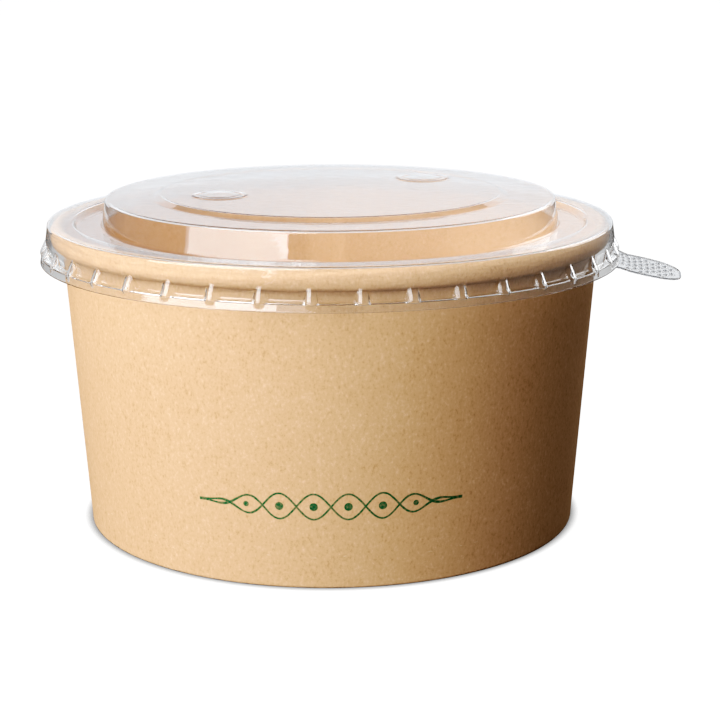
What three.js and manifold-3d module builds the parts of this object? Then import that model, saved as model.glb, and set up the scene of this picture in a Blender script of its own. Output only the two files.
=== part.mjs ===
// A round paperboard salad bowl under its clear, thermoformed press-on lid.
//
// Three solids, as the real thing is put together:
//   bowl_wall  one conical blank, lapped at the back, curled into a hollow rim roll at the top
//              and folded up into a hem at the foot
//   bowl_base  the disc that closes the bottom, its edge turned down into the hem
//   lid        one film: raised panel, dome, flange, skirt with upright ribs, lip and pull tab
//
// Millimetres, +Z up. The foot stands on z = 0 and the pull tab points along +X. Everything is
// shaped round the bowl's own axis, and the whole is then slid along X, so that the middle of
// its bounding box stands over the origin.

import * as THREE from 'three';
import { mergeVertices } from 'three/addons/utils/BufferGeometryUtils.js';
import Module from 'manifold-3d';

const wasm = await Module();
wasm.setup();

// ---- Driving dimensions ----

const BOWL_SIDES = 60; // flats round the bowl and its base
const LID_SIDES = 80; // flats round the lid, two for each rib

// Bowl
const BOARD = 0.45; // thickness of the paperboard
const FIT = 0.1; // air between pieces that touch
const FOOT_RADIUS = 66.9; // outside of the wall at the standing plane
const WALL_FLARE = 0.0712; // growth of the wall's radius for each millimetre of height
const FOLD_RADIUS = 0.25; // small bevel where the board folds back at the foot
const HEM_HEIGHT = 7.0; // top of the hem that is folded up inside the foot
const RECESS_DEPTH = 7.5; // from the standing plane up to the disc
const RIM_RADIUS = 75.35; // outermost point of the rim roll
const RIM_TOP = 81.8;
const ROLL_WIDTH = 3.9;
const ROLL_HEIGHT = 5.7;
const ROLL_STEP = 30; // degrees between the points of the roll's oval
const ROLL_LIP = -120; // degrees round the oval where the curled edge ends, close to the wall
const LAP_WIDTH = 7; // overlap of the blank's two ends
const LAP_AZIMUTH = 112; // degrees from +X, on the bowl's far side
const LAP_BITE = 0.15; // how far the lap's strip is sunk into the wall

// Lid, measured on its outer face
const FILM = 0.4;
const PANEL_TOP = 89.2; // raised middle of the lid
const PANEL_RADIUS = 45.9;
const SHOULDER_TOP = 88.2; // flat ring round the panel
const SHOULDER_INNER = 48.1;
const DOME_RADIUS = 60.6;
const DOME_DRAFT = 1.3; // growth of the dome's radius down its side
const DOME_EDGE = 0.85; // bevel of the dome's top edge
const GUTTER_TOP = 80.8; // low ring between the dome and the flange
const GUTTER_OUTER = 68.3;
const FLANGE_TOP = RIM_TOP + FIT + FILM;
const FLANGE_INNER = 69.3;
const SKIRT_RADIUS = 76.1;
const SKIRT_EDGE = 0.8; // bevel between flange and skirt
const WAIST_TOP = 77.6; // below this the skirt is drawn in under the rim roll
const WAIST_RADIUS = 76.75;
const LEDGE_TOP = 74.35; // where the skirt breaks out into the lip
const LEDGE_RADIUS = 76.25;
const LEDGE_DROP = 0.4;
const LIP_TOP_RADIUS = 77.85;
const LIP_RADIUS = 78.3; // the lip flares out to its edge
const LIP_BOTTOM = 71.9;

// Half-round ribs that lean out from the skirt's waist to the lip
const RIB_COUNT = 40;
const RIB_PHASE = 4.5; // degrees from +X to the first rib
const RIB_RADIUS = 1.9;
const RIB_HEAD_RADIUS = 76.95; // upper end of a rib's outermost line
const RIB_HEAD_HEIGHT = 77.2;
const RIB_FOOT_RADIUS = 78.2; // lower end of that line, above the round foot
const RIB_FOOT_HEIGHT = 74.6;

// Pull tab
const TAB_LENGTH = 17.1;
const TAB_HALF_WIDTH = 10.9;
const TAB_ROOT_HALF_WIDTH = 13.6; // where the tab's sides run out into the lip
const TAB_ROOT_RUN = 4; // length of that run-out
const TAB_ROOT_RADIUS = 77.75;
const TAB_ROOT_HEIGHT = 72.0; // middle of the film where the tab leaves the lip
const TAB_DROOP = 12.6; // degrees below level
const TAB_TWIST = 5; // degrees that the tip is turned about the tab's length
const TAB_WIDTH_POWER = 2.6; // how square the tab's outline is, as a superellipse
const TAB_LENGTH_POWER = 2.1;
const TAB_END = 0.985; // share of the outline's length where the tip is cut square
const TAB_STEPS = 10;
const TAB_STEPS_ACROSS = 8;

// Grip bumps on the tab, in rows set half a pitch apart
const BUMP_PITCH_ALONG = 3.2;
const BUMP_PITCH_ACROSS = 4.2;
const BUMP_RADIUS = 0.7;
const BUMP_HEIGHT = 0.4;
const BUMP_MARGIN = 1.5; // bare film between the bumps and the tab's edge
const BUMP_SIDES = 5;

// Two plain round buttons raised in the panel
const BUTTON_RADIUS = 7.5;
const BUTTON_HEIGHT = 0.3;
const BUTTON_BEVEL = 0.6;
const BUTTON_SIDES = 16;
const BUTTONS = [
  { radius: 31, azimuth: 206 },
  { radius: 34, azimuth: 48 },
];

// ---- Materials ----

const kraft = new THREE.MeshStandardMaterial({ color: 0xd9b27a, roughness: 0.72, metalness: 0 });
const kraftInside = new THREE.MeshStandardMaterial({ color: 0xd3a96e, roughness: 0.6, metalness: 0 });
const clearFilm = new THREE.MeshStandardMaterial({
  color: 0xf4f6f7,
  roughness: 0.08,
  metalness: 0,
  transparent: true,
  opacity: 0.3,
});

// ---- Helpers ----

const radians = THREE.MathUtils.degToRad;

function point(radius, height) {
  return new THREE.Vector2(radius, height);
}

// Points of an oval round (centre.x, centre.y), from one angle to another in equal steps.
function oval(centre, halfWidth, halfHeight, from, to, step) {
  const count = Math.round(Math.abs(to - from) / step);
  const points = [];
  for (let i = 0; i <= count; i++) {
    const angle = radians(from + ((to - from) * i) / count);
    points.push(point(centre.x + halfWidth * Math.cos(angle), centre.y + halfHeight * Math.sin(angle)));
  }
  return points;
}

// The same open path moved to its right by a distance, with mitred corners.
function offsetPath(path, distance) {
  const normals = path.slice(1).map((end, i) => {
    const along = end.clone().sub(path[i]).normalize();
    return point(along.y, -along.x);
  });
  return path.map((corner, i) => {
    const before = normals[Math.max(i - 1, 0)];
    const after = normals[Math.min(i, normals.length - 1)];
    const mitre = before.clone().add(after).normalize();
    return corner.clone().addScaledVector(mitre, distance / mitre.dot(after));
  });
}

// Six times a closed mesh's signed volume: negative where its faces point in.
function signedVolume(geometry) {
  const position = geometry.attributes.position;
  const [a, b, c] = [new THREE.Vector3(), new THREE.Vector3(), new THREE.Vector3()];
  let sum = 0;
  for (let i = 0; i < geometry.index.count; i += 3) {
    a.fromBufferAttribute(position, geometry.index.getX(i));
    b.fromBufferAttribute(position, geometry.index.getX(i + 1));
    c.fromBufferAttribute(position, geometry.index.getX(i + 2));
    sum += a.dot(b.cross(c));
  }
  return sum;
}

// Keeps only positions, merges shared vertices, drops collapsed triangles and turns faces out.
function weld(geometry) {
  const bare = new THREE.BufferGeometry();
  bare.setAttribute('position', geometry.attributes.position);
  bare.setIndex(geometry.index);
  const merged = mergeVertices(bare, 1e-4);
  const kept = [];
  for (let i = 0; i < merged.index.count; i += 3) {
    const corners = [0, 1, 2].map((j) => merged.index.getX(i + j));
    if (new Set(corners).size === 3) kept.push(...corners);
  }
  merged.setIndex(kept);
  if (signedVolume(merged) < 0) merged.setIndex(kept.reverse());
  return merged;
}

// A closed profile of (radius, height) points turned round the Z axis.
function turn(profile, sides) {
  const geometry = new THREE.LatheGeometry(profile, sides);
  geometry.rotateX(Math.PI / 2);
  return weld(geometry);
}

function toSolid(geometry) {
  const { position } = geometry.attributes;
  const mesh = new wasm.Mesh({
    numProp: 3,
    vertProperties: new Float32Array(position.array),
    triVerts: new Uint32Array(geometry.index.array),
  });
  return new wasm.Manifold(mesh);
}

function toGeometry(solid) {
  const { vertProperties, triVerts } = solid.getMesh();
  const geometry = new THREE.BufferGeometry();
  geometry.setAttribute('position', new THREE.BufferAttribute(new Float32Array(vertProperties), 3));
  geometry.setIndex(new THREE.BufferAttribute(new Uint32Array(triVerts), 1));
  return geometry;
}

function joinAll(solids) {
  return solids.reduce((whole, next) => whole.add(next));
}

// ---- Bowl ----

function wallRadius(height) {
  return FOOT_RADIUS + WALL_FLARE * height;
}

// The board's path is a closed loop: up the outside, round inside the hollow roll to the curled
// edge, back over the roll, down the inside and up and down the folded hem.
function wallProfile() {
  const slot = BOARD + 2 * FIT; // room for the base's turned-down edge
  const hemOuter = BOARD + slot;
  const hemInner = hemOuter + BOARD;
  const centre = point(RIM_RADIUS - ROLL_WIDTH / 2, RIM_TOP - ROLL_HEIGHT / 2);
  const [halfWidth, halfHeight] = [ROLL_WIDTH / 2, ROLL_HEIGHT / 2];
  const rollFoot = RIM_TOP - ROLL_HEIGHT;
  const inner = oval(centre, halfWidth - BOARD, halfHeight - BOARD, 180, ROLL_LIP, ROLL_STEP);
  const outer = oval(centre, halfWidth, halfHeight, ROLL_LIP, 180, ROLL_STEP);
  return [
    point(wallRadius(0) - FOLD_RADIUS, 0),
    point(wallRadius(FOLD_RADIUS), FOLD_RADIUS),
    point(wallRadius(rollFoot), rollFoot),
    ...inner,
    ...outer,
    point(wallRadius(rollFoot) - BOARD, rollFoot),
    point(wallRadius(BOARD) - BOARD, BOARD),
    point(wallRadius(BOARD) - hemOuter, BOARD),
    point(wallRadius(HEM_HEIGHT) - hemOuter, HEM_HEIGHT),
    point(wallRadius(HEM_HEIGHT) - hemInner, HEM_HEIGHT),
    point(wallRadius(FOLD_RADIUS) - hemInner, FOLD_RADIUS),
    point(wallRadius(0) - hemInner + FOLD_RADIUS, 0),
    point(wallRadius(0) - FOLD_RADIUS, 0),
  ];
}

// The outer end of the blank, standing proud of the wall by the board's thickness: a flat strip
// bent round the cone.
function lapStrip() {
  const bottom = FOLD_RADIUS;
  const top = RIM_TOP - ROLL_HEIGHT - FOLD_RADIUS;
  const strip = new THREE.BoxGeometry(LAP_WIDTH, BOARD + LAP_BITE, top - bottom, 3, 1, 1);
  const position = strip.attributes.position;
  for (let i = 0; i < position.count; i++) {
    const height = position.getZ(i) + (top + bottom) / 2;
    const radius = wallRadius(height) + position.getY(i) + (BOARD - LAP_BITE) / 2;
    const angle = radians(LAP_AZIMUTH) - position.getX(i) / wallRadius(height);
    position.setXYZ(i, radius * Math.cos(angle), radius * Math.sin(angle), height);
  }
  return weld(strip);
}

function bowlWall() {
  return toGeometry(toSolid(turn(wallProfile(), BOWL_SIDES)).add(toSolid(lapStrip())));
}

function bowlBase() {
  const outside = (height) => wallRadius(height) - BOARD - FIT;
  const discTop = RECESS_DEPTH + BOARD;
  const skirtFoot = BOARD + 3 * FIT;
  const profile = [
    point(0, discTop),
    point(outside(discTop) - BOARD, discTop),
    point(outside(RECESS_DEPTH), RECESS_DEPTH),
    point(outside(skirtFoot), skirtFoot),
    point(outside(skirtFoot) - BOARD, skirtFoot),
    point(outside(RECESS_DEPTH) - BOARD, RECESS_DEPTH - BOARD / 2),
    point(outside(RECESS_DEPTH) - 2 * BOARD, RECESS_DEPTH),
    point(0, RECESS_DEPTH),
  ];
  return turn(profile, BOWL_SIDES);
}

// ---- Lid ----

// The film's outer face, from the middle of the panel to the lip's edge.
function lidPath() {
  return [
    point(0, PANEL_TOP),
    point(PANEL_RADIUS, PANEL_TOP),
    point(SHOULDER_INNER, SHOULDER_TOP),
    point(DOME_RADIUS - DOME_EDGE, SHOULDER_TOP),
    point(DOME_RADIUS, SHOULDER_TOP - DOME_EDGE),
    point(DOME_RADIUS + DOME_DRAFT, GUTTER_TOP),
    point(GUTTER_OUTER, GUTTER_TOP),
    point(FLANGE_INNER, FLANGE_TOP),
    point(SKIRT_RADIUS - SKIRT_EDGE, FLANGE_TOP),
    point(SKIRT_RADIUS, FLANGE_TOP - SKIRT_EDGE),
    point(WAIST_RADIUS, WAIST_TOP),
    point(LEDGE_RADIUS, LEDGE_TOP),
    point(LIP_TOP_RADIUS, LEDGE_TOP - LEDGE_DROP),
    point(LIP_RADIUS, LIP_BOTTOM),
  ];
}

function film() {
  const outer = lidPath();
  return turn([...outer, ...offsetPath(outer, FILM).reverse()], LID_SIDES);
}

// All that lies inside the middle of the film. It trims the ribs' backs.
function lidEnvelope() {
  return turn([...offsetPath(lidPath(), FILM / 2), point(0, LIP_BOTTOM)], LID_SIDES);
}

// Leaning capsules of a given radius in a ring, all round the ribs' axes.
function ribRing(radius) {
  const [run, rise] = [RIB_FOOT_RADIUS - RIB_HEAD_RADIUS, RIB_HEAD_HEIGHT - RIB_FOOT_HEIGHT];
  const lean = Math.atan2(run, rise);
  const capsule = new THREE.CapsuleGeometry(radius, Math.hypot(run, rise), 1, 6);
  capsule.rotateX(Math.PI / 2);
  capsule.rotateY(-lean);
  capsule.translate(
    (RIB_HEAD_RADIUS + RIB_FOOT_RADIUS) / 2 - RIB_RADIUS * Math.cos(lean),
    0,
    (RIB_HEAD_HEIGHT + RIB_FOOT_HEIGHT) / 2 - RIB_RADIUS * Math.sin(lean),
  );
  const solid = toSolid(weld(capsule));
  const ring = [];
  for (let i = 0; i < RIB_COUNT; i++) {
    ring.push(solid.rotate([0, 0, RIB_PHASE + (360 / RIB_COUNT) * i]));
  }
  return joinAll(ring);
}

// Half the tab's width at a distance from the lip: a superellipse that runs out at the root.
function tabHalfWidth(distance) {
  const share = Math.max(distance, 0) / TAB_LENGTH;
  const body = TAB_HALF_WIDTH * (1 - share ** TAB_LENGTH_POWER) ** (1 / TAB_WIDTH_POWER);
  const runOut = Math.max(1 - Math.max(distance, 0) / TAB_ROOT_RUN, 0) ** 2;
  return body + (TAB_ROOT_HALF_WIDTH - TAB_HALF_WIDTH) * runOut;
}

// From the flat tab, with its length along X from the lip, to where it lies on the lid.
function layOnTab(distance, across, lift) {
  const drop = distance * Math.tan(radians(TAB_DROOP));
  const twist = Math.tan(radians(TAB_TWIST)) * (distance / TAB_LENGTH);
  const root = Math.sqrt(TAB_ROOT_RADIUS ** 2 - across ** 2);
  const straighten = 1 - THREE.MathUtils.smoothstep(distance, 0, TAB_LENGTH);
  const x = THREE.MathUtils.lerp(TAB_ROOT_RADIUS, root, straighten) + distance;
  return new THREE.Vector3(x, across, TAB_ROOT_HEIGHT - drop + across * twist + lift);
}

function tab() {
  const blank = new THREE.BoxGeometry(1, 2, FILM, TAB_STEPS, TAB_STEPS_ACROSS, 1);
  const position = blank.attributes.position;
  for (let i = 0; i < position.count; i++) {
    const share = Math.sin(((position.getX(i) + 0.5) * Math.PI) / 2);
    const distance = TAB_END * TAB_LENGTH * share;
    const across = position.getY(i) * tabHalfWidth(distance);
    const laid = layOnTab(distance, across, position.getZ(i));
    position.setXYZ(i, laid.x, laid.y, laid.z);
  }
  return toSolid(weld(blank));
}

function gripBumps() {
  const bumps = [];
  const cone = new THREE.CylinderGeometry(BUMP_RADIUS * 0.4, BUMP_RADIUS, BUMP_HEIGHT + FILM / 2, BUMP_SIDES);
  cone.rotateX(Math.PI / 2);
  const bump = toSolid(weld(cone));
  const rows = Math.floor(TAB_LENGTH / (BUMP_PITCH_ALONG / 2));
  const columns = Math.ceil(TAB_HALF_WIDTH / BUMP_PITCH_ACROSS);
  for (let row = 1; row <= rows; row++) {
    const distance = (row * BUMP_PITCH_ALONG) / 2;
    for (let column = -columns; column <= columns; column++) {
      const across = (column + (row % 2) / 2) * BUMP_PITCH_ACROSS;
      const room = tabHalfWidth(distance + BUMP_MARGIN) - BUMP_RADIUS;
      if (distance + BUMP_MARGIN > TAB_LENGTH || Math.abs(across) > room) continue;
      const foot = layOnTab(distance, across, FILM / 4 + (BUMP_HEIGHT + FILM / 2) / 2);
      bumps.push(bump.translate([foot.x, foot.y, foot.z]));
    }
  }
  return bumps;
}

function buttons() {
  return BUTTONS.map(({ radius, azimuth }) => {
    const height = BUTTON_HEIGHT + FILM / 2;
    const disc = new THREE.CylinderGeometry(BUTTON_RADIUS - BUTTON_BEVEL, BUTTON_RADIUS, height, BUTTON_SIDES);
    disc.rotateX(Math.PI / 2);
    disc.translate(
      radius * Math.cos(radians(azimuth)),
      radius * Math.sin(radians(azimuth)),
      PANEL_TOP - FILM / 2 + height / 2,
    );
    return toSolid(weld(disc));
  });
}

function lid() {
  const ribs = ribRing(RIB_RADIUS).subtract(toSolid(lidEnvelope()));
  const hollows = ribRing(RIB_RADIUS - FILM);
  const shell = toSolid(film()).add(ribs).subtract(hollows);
  return toGeometry(joinAll([shell, tab(), ...gripBumps(), ...buttons()]));
}

// ---- Assembly ----

function piece(name, geometry, material) {
  const mesh = new THREE.Mesh(geometry, material);
  mesh.name = name;
  return mesh;
}

const saladBowl = new THREE.Group();
saladBowl.add(piece('bowl_wall', bowlWall(), kraft));
saladBowl.add(piece('bowl_base', bowlBase(), kraftInside));
saladBowl.add(piece('lid', lid(), clearFilm));

const bounds = new THREE.Box3().setFromObject(saladBowl);
saladBowl.position.x = -(bounds.min.x + bounds.max.x) / 2;
saladBowl.updateMatrixWorld(true);

export default saladBowl;
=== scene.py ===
"""A round kraft paperboard salad bowl under its clear press-on lid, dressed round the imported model.

Sizes are millimetres and degrees, and are turned into metres and radians where a mesh, a lamp or
the camera is made. Everything round is shaped about the bowl's own axis, which the frame gives.
"""

import logging
import math
from dataclasses import dataclass, field
from enum import Enum
from typing import Callable, NamedTuple, Sequence

import bmesh
import bpy
from mathutils import Matrix, Vector, geometry, noise


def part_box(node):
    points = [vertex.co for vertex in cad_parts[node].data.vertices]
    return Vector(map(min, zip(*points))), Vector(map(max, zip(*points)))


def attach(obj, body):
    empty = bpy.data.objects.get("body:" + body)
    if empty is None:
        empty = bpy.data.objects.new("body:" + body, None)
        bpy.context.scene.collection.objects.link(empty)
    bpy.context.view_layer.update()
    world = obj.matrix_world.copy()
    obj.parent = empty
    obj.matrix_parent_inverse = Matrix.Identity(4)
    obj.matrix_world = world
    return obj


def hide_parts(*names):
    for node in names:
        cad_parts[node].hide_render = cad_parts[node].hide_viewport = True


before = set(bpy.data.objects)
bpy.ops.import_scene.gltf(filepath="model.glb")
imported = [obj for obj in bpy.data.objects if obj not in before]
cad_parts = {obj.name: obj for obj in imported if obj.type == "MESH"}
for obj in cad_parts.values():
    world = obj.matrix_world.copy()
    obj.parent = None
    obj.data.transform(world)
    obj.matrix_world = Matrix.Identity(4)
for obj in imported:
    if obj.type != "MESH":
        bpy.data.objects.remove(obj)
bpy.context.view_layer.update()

log = logging.getLogger("salad_bowl")

MM = 0.001
Colour = tuple[float, float, float]
Socket = bpy.types.NodeSocket
TRAPPED = 4.5  # number of bounces after which light that runs inside the film leaves it
BOUNCED = 0.5  # light with fewer bounces off a dull surface than this has not met one yet


class Board(Enum):
    """The material slots of the paper pieces, in the order in which they stand on a mesh."""

    FACE = 0
    INSIDE = 1
    CUT_EDGE = 2


class Spot(NamedTuple):
    """A point of a profile: distance from the axis and height."""

    radius: float
    height: float


Press = Callable[[float, Spot], Spot]  # moves a point, given its angle from +X and its spot


class Corner(NamedTuple):
    """A corner of a profile, with the radius that rounds it off."""

    radius: float
    height: float
    fillet: float = 0.0


class Ring(NamedTuple):
    """A ring of mesh points round the axis: their numbers and their angles in degrees."""

    points: list[int]
    angles: Sequence[float]


# ---- Profiles ----


def bowl_axis() -> float:
    """Distance in metres from the frame's origin to the bowl's axis, along X."""
    low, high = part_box("bowl_base")
    return (low.x + high.x) / 2


def smooth_step(value: float, low: float, high: float) -> float:
    """A smooth rise from 0 at low to 1 at high.

    Args:
        value: Where to read the step.
        low: Where the rise begins.
        high: Where the rise ends.

    Returns:
        A number from 0 to 1.
    """
    share = min(max((value - low) / (high - low), 0.0), 1.0)
    return share * share * (3 - 2 * share)


def around(count: int) -> list[float]:
    """Evenly spaced angles round the axis, in degrees."""
    return [360 * i / count for i in range(count)]


def oval(
    centre: Spot, half_width: float, half_height: float, start: float, stop: float, step: float,
) -> list[Spot]:
    """Points along part of an oval.

    Args:
        centre: Middle of the oval.
        half_width: Half of its width.
        half_height: Half of its height.
        start: First angle, from the outward direction.
        stop: Last angle.
        step: Angle between points.

    Returns:
        The points from start to stop.
    """
    count = max(round(abs(stop - start) / step), 1)
    angles = [math.radians(start + (stop - start) * i / count) for i in range(count + 1)]
    return [
        Spot(centre.radius + half_width * math.cos(a), centre.height + half_height * math.sin(a))
        for a in angles
    ]


def rounded(corners: Sequence[Corner], step: float = 15.0, support: float = 0.12) -> list[Spot]:
    """A profile with its corners rounded off.

    Args:
        corners: The profile's corners with their fillets.
        step: Largest angle between two points of a fillet.
        support: Distance from a fillet to the extra point that keeps the flat beside it flat.

    Returns:
        The points of the rounded profile.
    """
    path = [Spot(corners[0].radius, corners[0].height)]
    for before, here, after in zip(corners, corners[1:], corners[2:]):
        corner = Vector((here.radius, here.height))
        back = Vector((before.radius, before.height)) - corner
        ahead = Vector((after.radius, after.height)) - corner
        if not here.fillet:
            path.append(Spot(*corner))
            continue
        turn = math.pi - back.angle(ahead)
        room = 0.46 * min(back.length, ahead.length)
        reach = min(here.fillet * math.tan(turn / 2), room)
        fillet = reach / math.tan(turn / 2)
        spare = reach + support < room
        back.normalize()
        ahead.normalize()
        middle = corner + (back + ahead).normalized() * (fillet / math.cos(turn / 2))
        first, last = corner + back * reach, corner + ahead * reach
        if spare:
            path.append(Spot(*(first + back * support)))
        count = max(math.ceil(math.degrees(turn) / step), 2)
        for i in range(count + 1):
            arm = (first - middle).slerp(last - middle, i / count)  # of unit length
            path.append(Spot(*(middle + arm * fillet)))
        if spare:
            path.append(Spot(*(last + ahead * support)))
    path.append(Spot(corners[-1].radius, corners[-1].height))
    return path


def parallel(path: Sequence[Spot], distance: float) -> list[Spot]:
    """A profile moved sideways to its right, with mitred corners.

    Args:
        path: The profile.
        distance: How far it moves.

    Returns:
        The moved profile, with as many points.
    """
    points = [Vector(p) for p in path]
    sides = [(b - a).normalized() for a, b in zip(points, points[1:])]
    normals = [Vector((s.y, -s.x)) for s in sides]
    moved = []
    for i, point in enumerate(points):
        before, after = normals[max(i - 1, 0)], normals[min(i, len(normals) - 1)]
        mitre = (before + after).normalized()
        moved.append(Spot(*(point + mitre * (distance / max(mitre.dot(after), 0.3)))))
    return moved


def divided(path: Sequence[Spot], low: float, high: float, step: float) -> list[Spot]:
    """A profile with extra points where its height lies between two limits.

    Args:
        path: The profile.
        low: Lower limit of the heights.
        high: Upper limit of the heights.
        step: Largest distance between points there.

    Returns:
        The profile with the extra points.
    """
    result = [path[0]]
    for start, stop in zip(path, path[1:]):
        length = math.dist(start, stop)
        near = max(start.height, stop.height) > low and min(start.height, stop.height) < high
        count = max(math.ceil(length / step), 1) if near else 1
        for i in range(1, count + 1):
            share = i / count
            result.append(Spot(
                start.radius + (stop.radius - start.radius) * share,
                start.height + (stop.height - start.height) * share,
            ))
    return result


# ---- Meshes ----


def in_scene(name: str, data: bpy.types.ID) -> bpy.types.Object:
    """Puts a new object into the scene.

    Args:
        name: Its name.
        data: The mesh, lamp or camera that it holds.

    Returns:
        The object.
    """
    made = bpy.data.objects.new(name, data)
    bpy.context.scene.collection.objects.link(made)
    return made


class Lathe:
    """Gathers a mesh ring by ring round the bowl's axis, in millimetres."""

    def __init__(self) -> None:
        """Starts with nothing on the lathe."""
        self.points: list[tuple[float, float, float]] = []
        self.faces: list[tuple[int, ...]] = []
        self.slots: list[int] = []

    def point(self, x: float, y: float, z: float) -> int:
        """Adds a point and returns its number."""
        self.points.append((x, y, z))
        return len(self.points) - 1

    def face(self, corners: Sequence[int], slot: int = 0) -> None:
        """Adds a face with the number of its material slot."""
        self.faces.append(tuple(corners))
        self.slots.append(slot)

    def ring(
        self, spot: Spot, angles: Sequence[float], press: Press | None = None,
        centre: tuple[float, float] = (0.0, 0.0),
    ) -> Ring:
        """Adds a ring of points.

        Args:
            spot: The ring's radius and height.
            angles: Angles of its points from +X.
            press: Moves each of its points.
            centre: Its middle, from the bowl's axis.

        Returns:
            The ring.
        """
        numbers = []
        for angle in angles:
            radius, height = press(angle, spot) if press else spot
            a = math.radians(angle)
            x, y = centre[0] + radius * math.cos(a), centre[1] + radius * math.sin(a)
            numbers.append(self.point(x, y, height))
        return Ring(numbers, angles)

    def strip(self, one: Ring, two: Ring, slot: int = 0) -> None:
        """Joins two rings, which may hold different numbers of points.

        Args:
            one: The first ring.
            two: The second ring.
            slot: Material slot of the faces.
        """
        if len(one.points) == len(two.points):
            count = len(one.points)
            for i in range(count):
                j = (i + 1) % count
                self.face((one.points[i], one.points[j], two.points[j], two.points[i]), slot)
            return
        i = j = 0
        first = [*one.angles, one.angles[0] + 360]
        second = [*two.angles, two.angles[0] + 360]
        while i < len(one.points) or j < len(two.points):
            a, b = one.points[i % len(one.points)], two.points[j % len(two.points)]
            if j >= len(two.points) or (i < len(one.points) and first[i + 1] <= second[j + 1]):
                self.face((a, one.points[(i + 1) % len(one.points)], b), slot)
                i += 1
            else:
                self.face((a, two.points[(j + 1) % len(two.points)], b), slot)
                j += 1

    def fan(self, ring: Ring, middle: int, slot: int = 0) -> None:
        """Closes a ring with triangles to a point.

        Args:
            ring: The ring.
            middle: Number of the point.
            slot: Material slot of the faces.
        """
        count = len(ring.points)
        for i in range(count):
            self.face((ring.points[i], ring.points[(i + 1) % count], middle), slot)

    def turn_off(self, name: str, materials: Sequence[bpy.types.Material]) -> bpy.types.Object:
        """Takes the finished mesh off the lathe and stands it on the bowl's axis.

        Args:
            name: Name of the piece.
            materials: Its materials, in the order of the slots.

        Returns:
            The piece, with its place in its mesh.
        """
        shift = bowl_axis()
        mesh = bpy.data.meshes.new(name)
        mesh.from_pydata([(x * MM + shift, y * MM, z * MM) for x, y, z in self.points], [], self.faces)
        for material in materials:
            mesh.materials.append(material)
        mesh.polygons.foreach_set("material_index", self.slots)
        mesh.polygons.foreach_set("use_smooth", [True] * len(self.faces))
        work = bmesh.new()
        work.from_mesh(mesh)
        bmesh.ops.recalc_face_normals(work, faces=work.faces)
        work.to_mesh(mesh)
        work.free()
        piece = in_scene(name, mesh)
        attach(piece, "root")
        log.info("%s: %d faces", name, len(mesh.polygons))
        return piece


# ---- Shader nodes ----


class Field:
    """A value or colour that varies over the surface, whose arithmetic adds Math nodes."""

    def __init__(self, nodes: "Nodes", socket: Socket) -> None:
        """Wraps a node's output."""
        self.nodes, self.socket = nodes, socket

    def __add__(self, other: "Value") -> "Field":
        """The sum of the two."""
        return self.nodes.math("ADD", self, other)

    def __sub__(self, other: "Value") -> "Field":
        """The difference of the two."""
        return self.nodes.math("SUBTRACT", self, other)

    def __mul__(self, other: "Value") -> "Field":
        """The product of the two."""
        return self.nodes.math("MULTIPLY", self, other)

    def __truediv__(self, other: "Value") -> "Field":
        """The quotient of the two."""
        return self.nodes.math("DIVIDE", self, other)

    def __abs__(self) -> "Field":
        """The value without its sign."""
        return self.nodes.math("ABSOLUTE", self)


Value = float | Socket | Field


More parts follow.
